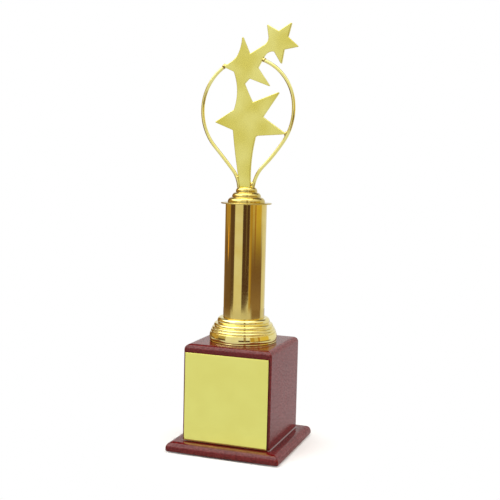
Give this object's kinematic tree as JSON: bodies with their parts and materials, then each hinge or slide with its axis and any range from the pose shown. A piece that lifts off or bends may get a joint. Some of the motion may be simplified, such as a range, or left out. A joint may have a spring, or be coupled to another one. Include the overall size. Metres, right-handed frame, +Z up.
{
  "type": "star trophy",
  "caption": "Award trophy: joined stars between bent rods on a gold tube column, with a lacquered wooden block base and blank engraving plate.",
  "frame": {"origin": "centre of the underside, on the surface that the trophy stands on", "axes": "+Z up along the column; the front with the engraving plate faces -Y; +X to the right seen from the front"},
  "size_m": [0.1074, 0.1074, 0.3869],
  "materials": {
    "lacquered_wood": "dark red-brown gloss lacquer over fine wood grain",
    "raw_wood": "plain sawn wood",
    "lacquer_bead": "set glue and lacquer",
    "felt": "dark felt",
    "plate_gold": "bright lacquered brass sheet with a polished bevel",
    "polished_gold": "mirror-bright gold plating",
    "column_gold": "mirror-bright gold tube",
    "satin_gold": "soft satin gold plating with polished edges",
    "rod_gold": "polished gold wire",
    "solder": "gold-plated solder",
    "plain_brass": "turned brass",
    "zinc_steel": "zinc plated",
    "plug_plastic": "moulded plastic",
    "tape": "foam adhesive tape"
  },
  "bodies": {
    "root": {"base_felt": "felt", "plinth_board": "lacquered_wood", "plinth_screws": "zinc_steel", "corner_glue_blocks": "raw_wood", "block_front_panel": "lacquered_wood", "block_right_panel": "lacquered_wood", "block_back_panel": "lacquered_wood", "block_left_panel": "lacquered_wood", "block_top_board": "lacquered_wood", "lacquer_fillet": "lacquer_bead", "engraving_plate": "plate_gold", "plate_tape_strips": "tape", "lower_collar": "polished_gold", "column_tube": "column_gold", "column_lower_plug": "plug_plastic", "column_upper_plug": "plug_plastic", "top_flange_disc": "polished_gold", "upper_riser": "polished_gold", "star_figure": "satin_gold", "left_loop_rod": "rod_gold", "right_loop_rod": "rod_gold", "solder_beads": "solder", "figure_boss": "plain_brass", "boss_pin": "zinc_steel", "tie_rod": "zinc_steel", "tie_rod_washer": "zinc_steel", "tie_rod_nut": "zinc_steel"}
  },
  "joints": []
}
